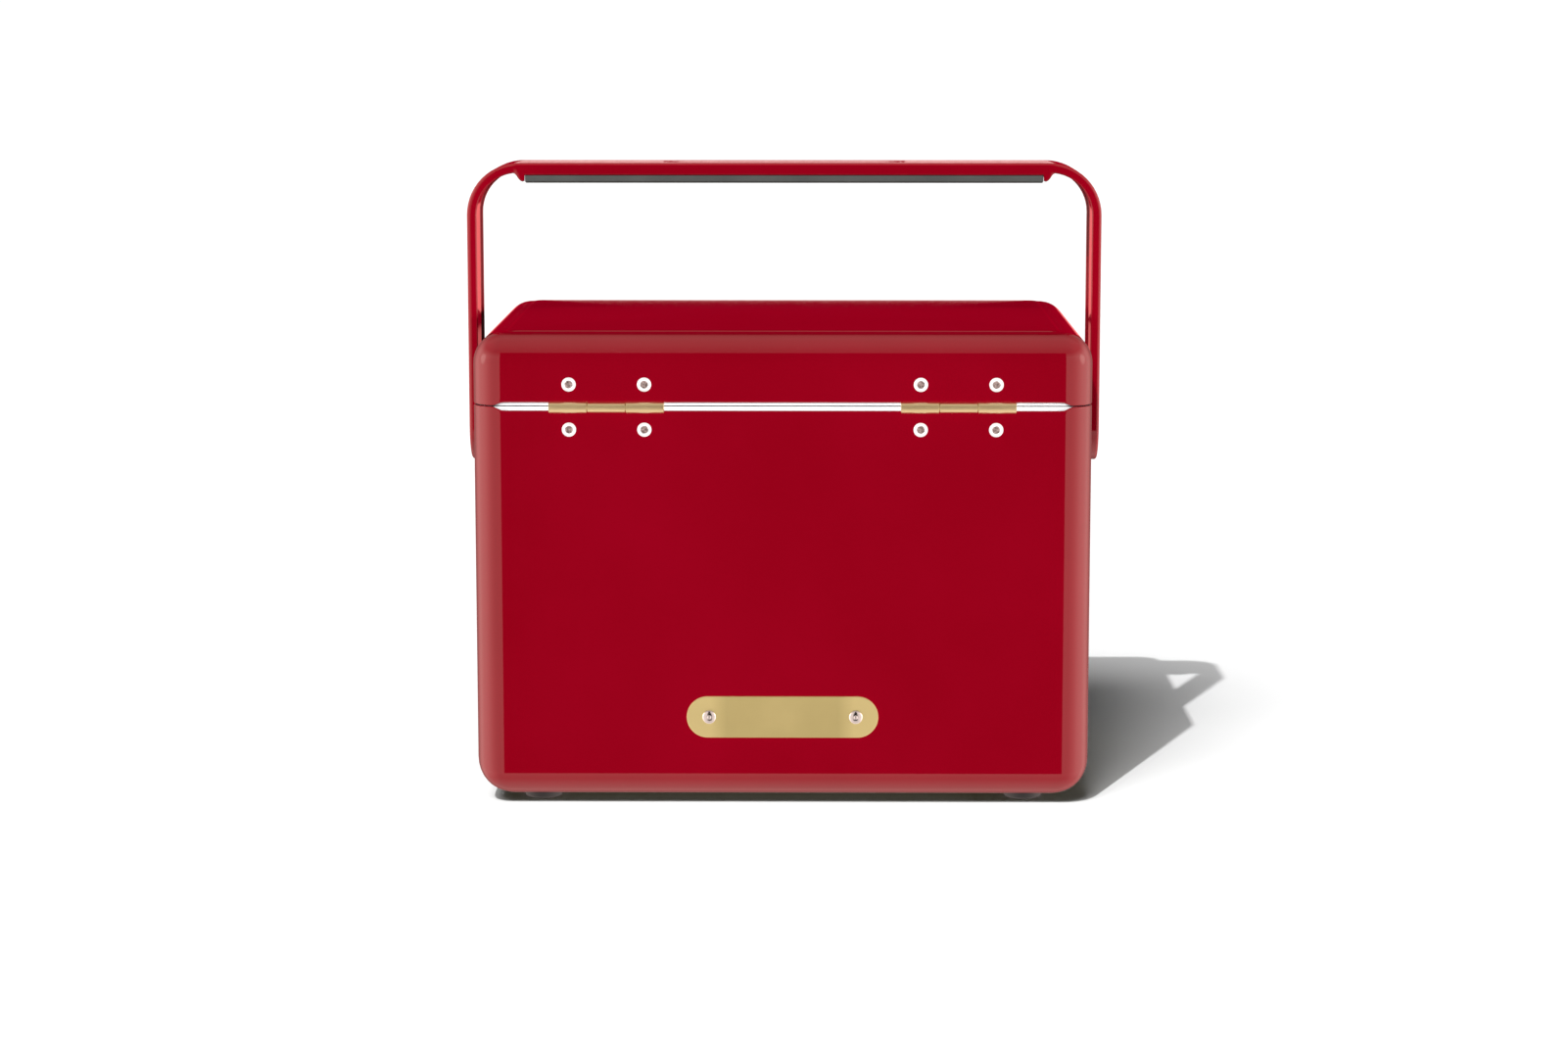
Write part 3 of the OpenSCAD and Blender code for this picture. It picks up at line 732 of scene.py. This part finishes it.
def inner_plate(side, name):
    """The plate that closes the channel along one leg and bend."""
    outer, inner, bevel = 3.4 * MM, 4.6 * MM, 0.25 * MM
    half = strap_half - 1.7 * MM
    start = grip_half + 0.2 * MM
    rows = [(start, half)] + [(s, half) for s in run_stops(strap_run) if s > start + 0.3 * MM]
    for i in range(1, 12):
        a = math.radians(90 * i / 12)
        rows.append((strap_run + half * math.sin(a), half * math.cos(a)))
    rings = []
    for s, wide in rows:
        w = max(wide, 0.5 * MM)
        loop = [(-w, outer), (w, outer), (w, inner - bevel), (w - bevel, inner)]
        loop += [(bevel - w, inner), (-w, inner - bevel)]
        rings.append([bow_point(side * s, side * v, depth) for v, depth in loop])
    verts, faces = loft(rings)
    make_piece(name + "_enamel", verts, faces, HANDLE_RED_LIT, "handle", "red_enamel", [name])


def grip_section(low, top):
    """The grip's section as (across, height): a neck in the channel and a wider rounded part below it."""
    neck, half = strap_half - 1.75 * MM, strap_half
    lip = bow_top - (GRIP_FLANGE + 0.1) * MM
    soft, low_r = 0.5 * MM, 1.3 * MM
    shoulder = []
    for a in (45, 90):
        t = math.radians(a)
        shoulder.append((half - soft + soft * math.sin(t), lip - soft * (1 - math.cos(t))))
    section = [(-neck, top), (-neck, lip), (-half + soft, lip)]
    section += [(-v, z) for v, z in shoulder]
    section += arc((-half + low_r, low + low_r), low_r, 180, 270, 6)
    section += [(-half * 0.3, low), (half * 0.3, low)]
    section += arc((half - low_r, low + low_r), low_r, 270, 360, 6)
    section += reversed(shoulder)
    return section + [(half - soft, lip), (neck, lip), (neck, top)]


def handle_grip():
    """The black rubber grip, held in the channel, with a rounded underside and ends."""
    lo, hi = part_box("handle_grip")
    low, top, half = lo.z, hi.z, strap_half
    middle = (low + top) / 2
    length, end_r = grip_half - 0.25 * MM, 0.9 * MM
    ends = [(length - back, shrink) for shrink, back in curl(end_r, 0, 30, 60, 90)]
    stations = [(-x, shrink) for x, shrink in ends] + [(x * MM, 0) for x in (-120, -60, 0, 60, 120)] + ends
    rings = []
    for x, shrink in sorted(stations):
        ky, kz = 1 - shrink / half, 1 - 2 * shrink / (top - low)
        section = grip_section(low, top)
        rings.append([Vector((x, mid_y + v * ky, middle + (z - middle) * kz)) for v, z in section])
    make_piece("handle_grip_rubber", *loft(rings), GRIP, "handle", "grip_rubber", ["handle_grip"])


# ---- hinges and rivets ----------------------------------------------------


def knuckle(x0, x1, r):
    """A curled knuckle about the hinge axis, with softened ends."""
    soft, bore = 0.3 * MM, 1.65 * MM
    profile = [(bore, x0 + soft), (bore + 0.15 * MM, x0), (r - soft, x0), (r - 0.08 * MM, x0 + 0.1 * MM)]
    profile += [(r, x0 + soft), (r, (x0 + x1) / 2), (r, x1 - soft), (r - 0.08 * MM, x1 - 0.1 * MM)]
    profile += [(r - soft, x1), (bore + 0.15 * MM, x1), (bore, x1 - soft), (bore, x0 + soft)]
    return lathe(profile, 40, hinge_place(0), False)


def hinge_place(x):
    """A place on the hinge axis, with +Z along the axis."""
    return Matrix.Translation(Vector((x, axis_y, axis_z))) @ Matrix.Rotation(math.pi / 2, 4, "Y")


def leaf_plate(x0, x1, back, low, high):
    """A flat stretch of a leaf: from x0 to x1, out to a back face, between two heights from the axis."""
    lo = (x0, rear_y - 2.0 * MM, axis_z + low * MM)
    return rounded_block(lo, (x1, back, axis_z + high * MM), 0.3 * MM)


def hinge(side, name):
    """One hinge: the body's leaf with two knuckles, the lid's leaf with the middle one, and the pin."""
    x = side * hinge_x
    half, gap, r = 31.75 * MM, 0.15 * MM, 3.1 * MM
    third = half / 3
    leaf_back, tongue_back = rear_y - shell_t, axis_y - 2.0 * MM
    body = [leaf_plate(x - half, x + half, leaf_back, -20, -0.8)]
    for a, b in ((-half, -third - gap), (third + gap, half)):
        body.append(knuckle(x + a, x + b, r))
        body.append(leaf_plate(x + a, x + b, tongue_back, -1.9, -0.8))
    make_piece(f"{name}_body_leaf_brass", *merged(body), BRASS, "chest", "brass", [f"{name}_body_leaf"])
    a, b = x - third + gap, x + third - gap
    lid = [leaf_plate(x - half, x + half, leaf_back, 1.1, 20), knuckle(a, b, r - 0.3 * MM)]
    lid.append(leaf_plate(a, b, tongue_back, 1.0, 2.1))
    make_piece(f"{name}_lid_leaf_brass", *merged(lid), BRASS, "lid", "brass", [f"{name}_lid_leaf"])
    pin_r, end, chamfer = 1.6 * MM, half - 0.2 * MM, 0.3 * MM
    profile = [(0, -end), (pin_r - chamfer, -end), (pin_r, -end + chamfer)]
    profile += [(pin_r, end - chamfer), (pin_r - chamfer, end), (0, end)]
    pin = lathe(profile, 32, hinge_place(x))
    make_piece(f"{name}_pin_brass", *pin, BRASS, "chest", "brass", [f"{name}_pin"])


def turned(profile, segments, place, capped=True):
    """A turned shape from a profile in millimetres."""
    return lathe([(r * MM, h * MM) for r, h in profile], segments, place, capped)


RIVET_FLANGE = ((0, -5), (3, -5), (3, -2), (2, -2), (2, 0), (3.75, 0), (3.92, 0.12), (3.95, 0.3), (3.8, 0.62),
                (3.4, 0.86), (3.0, 1.02), (2.75, 1.07), (2.62, 1.0), (2.5, 0.4), (0, 0.4))
MANDREL_STUB = ((0, 0.3), (2.2, 0.3), (2.1, 0.6), (1.65, 0.9), (1.2, 0.78), (0.75, 1.02), (0, 1.08))
PLATE_RIVET = ((0, -5), (3, -5), (3, -2.6), (2, -2.6), (2, 0), (3.95, 0), (3.95, 0.2), (3.86, 0.5),
               (3.62, 0.8), (3.25, 1.02), (2.8, 1.16), (2.3, 1.24), (1.6, 1.3), (1.3, 1.32), (1.2, 1.2),
               (1.0, 1.16), (0.8, 1.28), (0.4, 1.34), (0, 1.36))


def blind_rivet(place):
    """A blind rivet's flange and shank, and the broken mandrel in its middle, as two shapes."""
    flange = turned(RIVET_FLANGE, 40, place)
    verts, faces = turned(MANDREL_STUB, 24, place)
    ragged = [v + noise.noise_vector(v * 1100) * 0.22 * MM for v in verts]
    return flange, (ragged, faces)


def rear_place(x, z, turn=0.0, out=0.0):
    """A place on the rear wall, with +Z pointing out of it."""
    face = Matrix.Translation(Vector((x, rear_y + out, z)))
    return face @ Matrix.Rotation(-math.pi / 2, 4, "X") @ Matrix.Rotation(turn, 4, "Z")


RAGGED_SEED = 7


def all_rivets():
    """Four blind rivets per hinge, and two polished domes with a small spun tip on the nameplate.

    Blender's vector noise takes its offsets from the clock unless it is seeded."""
    noise.seed_set(RAGGED_SEED)
    aside, above = 20.8, 12.5 * MM
    for side, name in ((-1, "hinge_left"), (1, "hinge_right")):
        for up, half, body in ((-1, "body", "chest"), (1, "lid", "lid")):
            node = f"{name}_{half}_rivets"
            places = []
            for dx in (-aside, aside):
                places.append(rear_place(side * hinge_x + dx * MM, axis_z + up * above, dx))
            flanges, stubs = zip(*[blind_rivet(place) for place in places])
            make_piece(node + "_flanges", *merged(flanges), ALUMINIUM, body, "rivet_aluminium", [node])
            make_piece(node + "_mandrels", *merged(stubs), MANDREL, body, "rivet_aluminium")
    lo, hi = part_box("nameplate_rivets")
    x, z = hi.x - 3.95 * MM, (lo.z + hi.z) / 2
    plate_t = 0.8 * MM
    domes = [turned(PLATE_RIVET, 48, rear_place(side * x, z, 0, plate_t)) for side in (-1, 1)]
    both = merged(domes)
    make_piece("nameplate_rivets_domes", *both, POLISHED, "chest", "rivet_aluminium", ["nameplate_rivets"])


def nameplate():
    """The blank brass plate: a racetrack with a softened edge, a touch dished in its middle."""
    lo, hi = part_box("nameplate")
    z, half_h, half_l = (lo.z + hi.z) / 2, (hi.z - lo.z) / 2, (hi.x - lo.x) / 2
    thick = hi.y - lo.y
    straight = half_l - half_h
    steps = [(0, 0), (0, thick - 0.3 * MM), (0.1 * MM, thick - 0.08 * MM), (0.35 * MM, thick)]
    steps += [(1.4 * MM, thick), (5 * MM, thick - 0.05 * MM), (half_h - 0.3 * MM, thick - 0.08 * MM)]
    rings = []
    for inset, y in steps:
        ring = []
        r = half_h - inset
        for side, start in ((1, -90), (-1, 90)):
            for i in range(33):
                a = math.radians(start + 180 * i / 32)
                ring.append(Vector((side * straight + r * math.cos(a), lo.y + y, z + r * math.sin(a))))
        rings.append(list(reversed(ring)))
    make_piece("nameplate_blank", *loft(rings), PLATE, "chest", "brass", ["nameplate"])


# ---- feet and pivots ------------------------------------------------------


FOOT_PROFILE = ((2, 4.3), (2, 2.3), (4.7, 2.3), (4.7, 0.8), (5.2, 0.25), (6.2, 0), (9.6, 0), (10.2, 0.3),
                (10.5, 0.9), (11, 3.8), (11, 4.3), (2, 4.3))
SCREW_PROFILE = ((0, 1.2), (1.1, 1.2), (1.2, 0.3), (2, 0.35), (3.4, 0.7), (4.2, 1.6), (4.2, 2.3), (2, 2.3),
                 (2, 11.5), (1.9, 12), (0, 12))


def all_feet():
    """Four rubber feet with a rounded tread and a counterbore, and their recessed screws."""
    screws = []
    for centre, name in zip(feet(), FEET):
        place = Matrix.Translation(centre)
        verts, faces = turned(FOOT_PROFILE, 48, place, False)
        make_piece(f"foot_{name}_rubber", verts, faces, FOOT, "chest", "foot_rubber", [f"foot_{name}"])
        screws.append(turned(SCREW_PROFILE, 32, place))
    make_piece("foot_screws_steel", *merged(screws), ZINC, "chest", "zinc_steel", ["foot_screws"])


def dress_cad_nodes():
    """Materials for the CAD nodes that stay: the insulation and the pivots' hardware."""
    materials = {"insulation": WOOL, "bush": NYLON}
    for word in ("backing", "bolt", "nut", "spacer"):
        materials[word] = ZINC
    for name, node in frame["nodes"].items():
        for word, material in materials.items():
            if word in name:
                node.data.materials.clear()
                node.data.materials.append(material)


# ---- scene ----------------------------------------------------------------


LENS_MM = 81.13
CAMERA_X, CAMERA_BACK, CAMERA_UP = -0.0174, 1.9354, 0.2205
CAMERA_TILT, CAMERA_TURN = 8.375, 0.49


def camera():
    """The camera behind the chest, a little above its handle, looking down by 8 degrees."""
    data = bpy.data.cameras.new("camera")
    data.lens = LENS_MM
    data.sensor_width = 36
    item = bpy.data.objects.new("camera", data)
    item.location = (CAMERA_X, rear_y + CAMERA_BACK, axis_z + CAMERA_UP)
    item.rotation_euler = (math.radians(90 - CAMERA_TILT), 0, math.radians(180 + CAMERA_TURN))
    bpy.context.scene.collection.objects.link(item)
    bpy.context.scene.camera = item


def floor():
    """A wide white floor that neither mirrors in the chest nor lights it."""
    mesh = bpy.data.meshes.new("floor")
    size = 12
    corners = [(-size, -size, 0), (size, -size, 0), (size, size, 0), (-size, size, 0)]
    mesh.from_pydata(corners, [], [(0, 1, 2, 3)])
    item = bpy.data.objects.new("floor", mesh)
    bpy.context.scene.collection.objects.link(item)
    m = Nodes("floor")
    m.colour(m.ramp(m.noise(3, 3), [(0.3, (0.91, 0.91, 0.91)), (0.7, (0.93, 0.93, 0.93))]))
    m.rough(m.span(m.noise(20, 2), 0.85, 0.95))
    m.fixed(specular=0.0)
    mesh.materials.append(m.material)
    item.visible_glossy = False
    item.visible_diffuse = False
    item.visible_shadow = False


def sun(name, towards, energy, spread):
    """A far light shining along a direction, with an angular size in degrees."""
    data = bpy.data.lights.new(name, "SUN")
    data.energy = energy
    data.angle = math.radians(spread)
    item = bpy.data.objects.new(name, data)
    item.visible_glossy = False
    item.rotation_euler = Vector(towards).to_track_quat("-Z", "Y").to_euler()
    bpy.context.scene.collection.objects.link(item)
    return item


def lights():
    """A crisp key and a broad one from the camera's left, low washes all round, and the floor's bounce.

    One more reaches only the white liners, in place of the light that would bounce about inside them."""
    white_parts = bpy.data.collections.new("white_parts")
    for name in ("body_liner_tub", "lid_liner_pan", "lid_gasket_ring"):
        white_parts.objects.link(bpy.data.objects[name])
    sun("key", (-0.33, -0.86, -1), 2.4, 0.8)
    sun("broad_key", (-0.33, -0.80, -1), 2.5, 32)
    sun("wash_left", (-1, -0.17, 0), 3.4, 2)
    sun("wash_right", (1, -0.18, 0), 5.2, 2)
    sun("wash_front", (0.12, 1, 0), 5.4, 2)
    sun("bounce", (0, -0.34, 0.94), 4.5, 40)
    inside = sun("inside", (0.1, 0.75, -0.65), 1.8, 50)
    inside.light_linking.receiver_collection = white_parts


FILL = (0.035, 0.035, 0.035)
BACKDROP = (1.05, 1.05, 1.05)
BLACK = (0, 0, 0)
HORIZON = (1.15, 0.62, 0.60)
LOW_HORIZON = (1.25, 0.25, 0.24)
BACK_CARD = (0.37, 0.0, 0.014)
WALL_TINT = (1.12, 0.90, 0.81)
SOFTBOX = (0.953, 0.203, 0.223)


class Sky:
    """Short calls for the world's node tree, where x, y and z are a direction's parts."""

    def __init__(self, name):
        world = bpy.data.worlds.new(name)
        bpy.context.scene.world = world
        world.use_nodes = True
        self.tree = world.node_tree
        self.background = self.tree.nodes["Background"]
        coordinates = self.add("ShaderNodeTexCoord")
        split = self.add("ShaderNodeSeparateXYZ")
        self.link(coordinates.outputs["Generated"], split.inputs["Vector"])
        self.x, self.y, self.z = split.outputs["X"], split.outputs["Y"], split.outputs["Z"]
        self.aside = self.value("ABSOLUTE", self.x)

    def add(self, kind):
        return self.tree.nodes.new(kind)

    def link(self, output, target):
        self.tree.links.new(output, target)

    def give(self, socket, item):
        """Link an output to a socket, or set a number or a colour in it."""
        if isinstance(item, (int, float)):
            socket.default_value = item
        elif isinstance(item, tuple):
            socket.default_value = (*item, 1)
        else:
            self.link(item, socket)

    def value(self, operation, *items):
        node = self.add("ShaderNodeMath")
        node.operation = operation
        for socket, item in zip(node.inputs, items):
            self.give(socket, item)
        return node.outputs["Value"]

    def both(self, a, b):
        return self.value("MULTIPLY", a, b)

    def step(self, item, low, high, to_low, to_high):
        """A smooth change from one value to another, as an output goes from low to high."""
        node = self.add("ShaderNodeMapRange")
        node.interpolation_type = "SMOOTHSTEP"
        node.inputs["From Min"].default_value = low
        node.inputs["From Max"].default_value = high
        node.inputs["To Min"].default_value = to_low
        node.inputs["To Max"].default_value = to_high
        self.link(item, node.inputs["Value"])
        return node.outputs["Result"]

    def blend(self, factor, a, b):
        """Two colours (or a colour and an output) mixed by a factor."""
        node = self.add("ShaderNodeMix")
        node.data_type = "RGBA"
        self.link(factor, node.inputs["Factor"])
        self.give(node.inputs["A"], a)
        self.give(node.inputs["B"], b)
        return node.outputs["Result"]


def wall_brightness(sky):
    """How bright the studio is by direction, with one softbox on each side."""
    y, z = sky.y, sky.z
    walls = sky.both(sky.step(y, 0.2, 1.0, 1.8, 0.8), sky.step(y, -0.9, -0.25, 0.15, 1))
    walls = sky.both(walls, sky.step(z, 0.35, 0.72, 1, 0.33))
    walls = sky.both(walls, sky.step(z, -0.8, -0.3, 0.55, 1))
    mirror_side = sky.add("ShaderNodeCombineXYZ")
    for socket, item in zip(mirror_side.inputs, (sky.aside, y, z)):
        sky.link(item, socket)
    lamp = sky.add("ShaderNodeVectorMath")
    lamp.operation = "DOT_PRODUCT"
    lamp.inputs[1].default_value = SOFTBOX
    sky.link(mirror_side.outputs["Vector"], lamp.inputs[0])
    return sky.value("ADD", walls, sky.step(lamp.outputs["Value"], 0.955, 0.995, 0, 1.3))


def tinted(sky, colour, brightness):
    """A colour output made brighter or darker by an output."""
    scaled = sky.add("ShaderNodeVectorMath")
    scaled.operation = "SCALE"
    sky.link(colour, scaled.inputs["Vector"])
    sky.link(brightness, scaled.inputs["Scale"])
    return scaled.outputs["Vector"]


def far_card(sky):
    """The red card beyond the chest, above a thin pink horizon and a redder low one."""
    centre = 0.009
    narrow = sky.step(sky.value("ABSOLUTE", sky.value("SUBTRACT", sky.x, centre)), 0.090, 0.096, 1, 0)
    above = sky.both(sky.step(sky.z, 0.047, 0.052, 1, 0), sky.step(sky.z, 0.036, 0.040, 0, 1))
    below = sky.both(sky.step(sky.z, -0.036, -0.03, 1, 0), sky.step(sky.aside, 0.055, 0.065, 0, 1))
    within = sky.step(sky.aside, 0.11, 0.13, 1, 0)
    card = sky.blend(sky.both(above, narrow), BACK_CARD, HORIZON)
    return sky.blend(sky.both(below, within), card, LOW_HORIZON)


def studio():
    """A white studio with a dark strip behind the camera and a red card beyond the chest.

    Only mirrored rays see it. The camera sees the white backdrop, and the rest a faint fill."""
    sky = Sky("studio")
    aside, y, z = sky.aside, sky.y, sky.z
    ceiling = sky.step(z, 0.62, 0.66, 1, 0)
    strip = sky.both(sky.step(aside, 0.10, 0.125, 1, 0), sky.both(sky.step(z, -0.42, -0.36, 0, 1), ceiling))
    behind = sky.both(strip, sky.value("GREATER_THAN", y, 0))
    ahead = sky.both(sky.value("LESS_THAN", y, 0), sky.both(sky.step(aside, 0.18, 0.24, 1, 0), ceiling))
    ahead = sky.both(ahead, sky.step(z, -0.2, -0.15, 0, 1))
    walls = tinted(sky, sky.blend(behind, WALL_TINT, BLACK), wall_brightness(sky))
    mirrored = sky.blend(ahead, walls, far_card(sky))
    path = sky.add("ShaderNodeLightPath")
    unseen = sky.blend(path.outputs["Is Glossy Ray"], FILL, mirrored)
    seen = sky.blend(path.outputs["Is Camera Ray"], unseen, BACKDROP)
    sky.link(seen, sky.background.inputs["Color"])
    sky.background.inputs["Strength"].default_value = 1


camera()
floor()
studio()
body_shell()
lid_shell()
body_liner()
lid_liner()
lid_gasket()
handle_strap()
inner_plate(-1, "handle_inner_plate_left")
inner_plate(1, "handle_inner_plate_right")
handle_grip()
hinge(-1, "hinge_left")
hinge(1, "hinge_right")
all_rivets()
nameplate()
all_feet()
dress_cad_nodes()
lights()

bpy.context.scene.view_settings.view_transform = "Standard"

bpy.context.view_layer.update()
